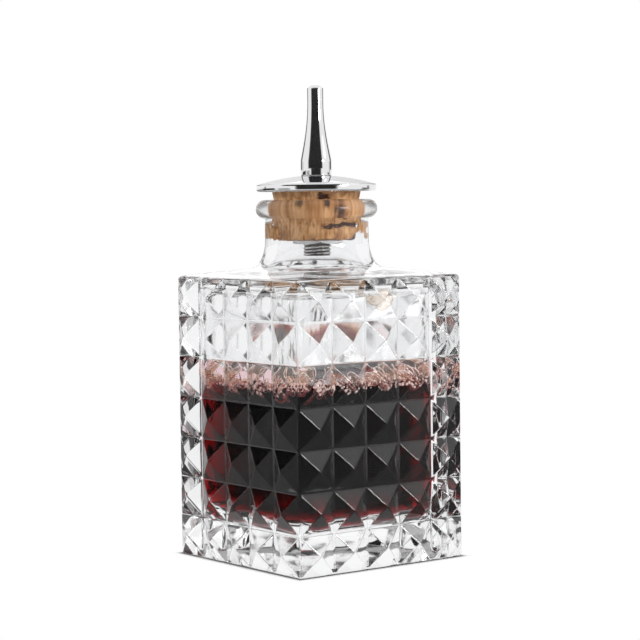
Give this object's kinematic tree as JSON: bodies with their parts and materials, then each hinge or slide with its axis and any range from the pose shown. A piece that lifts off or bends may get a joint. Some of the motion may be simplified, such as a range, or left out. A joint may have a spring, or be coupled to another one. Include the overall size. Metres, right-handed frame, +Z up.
{
  "type": "bitters bottle",
  "caption": "Square clear-glass bitters bottle with diamond-point sides, part filled, closed by a cork with a polished metal dasher spout.",
  "frame": {"origin": "centre of the base, on the plane that the bottle stands on", "axes": "+Z up along the bottle's axis; X and Y square to the glass sides"},
  "size_m": [0.0592, 0.0592, 0.1288],
  "materials": {
    "clear_glass": "clear pressed glass",
    "bitters_liquid": "dark red-brown liquid, stands in for water and spirit",
    "natural_cork": "natural cork",
    "polished_metal": "mirror polish",
    "threaded_metal": "bright cut thread",
    "plain_steel": "satin steel"
  },
  "bodies": {
    "bottle": {"glass_bottle": "clear_glass", "bitters": "bitters_liquid"},
    "cork_stopper": {"cork": "natural_cork"},
    "dasher_top": {"cap_disc": "polished_metal", "spout": "polished_metal", "threaded_tube": "threaded_metal"},
    "clamp_washer": {"washer": "plain_steel"},
    "clamp_nut": {"hex_nut": "plain_steel"}
  },
  "joints": [
    {"name": "stopper_lift", "type": "slide", "parent": "bottle", "child": "cork_stopper", "axis": [0, 0, 1], "range_m": [0, 0.05]},
    {"name": "top_turn", "type": "hinge", "parent": "cork_stopper", "child": "dasher_top", "pos_m": [0, 0, 0.0998], "axis": [0, 0, 1], "continuous": true},
    {"name": "washer_slide", "type": "slide", "parent": "dasher_top", "child": "clamp_washer", "axis": [0, 0, -1], "range_m": [0, 0.0065]},
    {"name": "nut_turn", "type": "hinge", "parent": "clamp_washer", "child": "clamp_nut", "pos_m": [0, 0, 0.0875], "axis": [0, 0, -1], "range_deg": [0, 2340]}
  ],
  "couplings": [
    {"joint": "nut_turn", "follows": "washer_slide", "rad_per_m": 6283.2}
  ]
}
